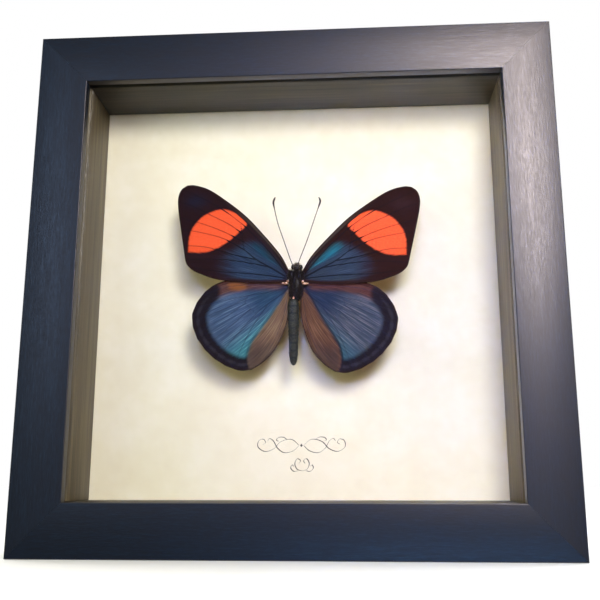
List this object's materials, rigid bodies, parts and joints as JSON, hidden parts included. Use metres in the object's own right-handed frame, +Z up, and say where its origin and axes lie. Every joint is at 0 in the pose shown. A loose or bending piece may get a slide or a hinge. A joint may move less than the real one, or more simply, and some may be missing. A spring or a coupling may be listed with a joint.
{
  "type": "framed butterfly specimen",
  "caption": "Square glazed shadow-box frame with mitred dark wood rails and a spread butterfly standing off a cream display card.",
  "frame": {"origin": "middle of the underside of the bounding box, on the surface the bottom rail stands on", "axes": "+Z up, the glazed front faces -Y, +X to the viewer's right"},
  "size_m": [0.165, 0.035, 0.165],
  "materials": {
    "frame_wood": "black-blue stain under satin lacquer, fine brushed grain",
    "glass": "clear float glass",
    "spacer_wood": "brown stain, open grain",
    "display_card": "mottled cream parchment paper on board",
    "backing_board": "plain hardboard",
    "glazing_point": "zinc plated",
    "hanger": "bright brassed steel",
    "insect_body": "dry chitin under short black hair",
    "forewing": "dry scaled membrane, black with blue and red",
    "hindwing": "dry scaled membrane, blue with a black border",
    "antenna": "dark brown horn",
    "mounting_post": "white foam"
  },
  "bodies": {
    "root": {"rail_top": "frame_wood", "rail_bottom": "frame_wood", "rail_left": "frame_wood", "rail_right": "frame_wood", "glass_pane": "glass", "spacer_top": "spacer_wood", "spacer_bottom": "spacer_wood", "spacer_left": "spacer_wood", "spacer_right": "spacer_wood", "display_card": "display_card", "backing_board": "backing_board", "glazing_point_top_1": "glazing_point", "glazing_point_top_2": "glazing_point", "glazing_point_bottom_1": "glazing_point", "glazing_point_bottom_2": "glazing_point", "glazing_point_left_1": "glazing_point", "glazing_point_left_2": "glazing_point", "glazing_point_right_1": "glazing_point", "glazing_point_right_2": "glazing_point", "sawtooth_hanger": "hanger", "hanger_nail_left": "hanger", "hanger_nail_right": "hanger", "thorax": "insect_body", "head": "insect_body", "abdomen": "insect_body", "forewing_left": "forewing", "hindwing_left": "hindwing", "antenna_left": "antenna", "forewing_right": "forewing", "hindwing_right": "hindwing", "antenna_right": "antenna", "mounting_post": "mounting_post"}
  },
  "joints": []
}
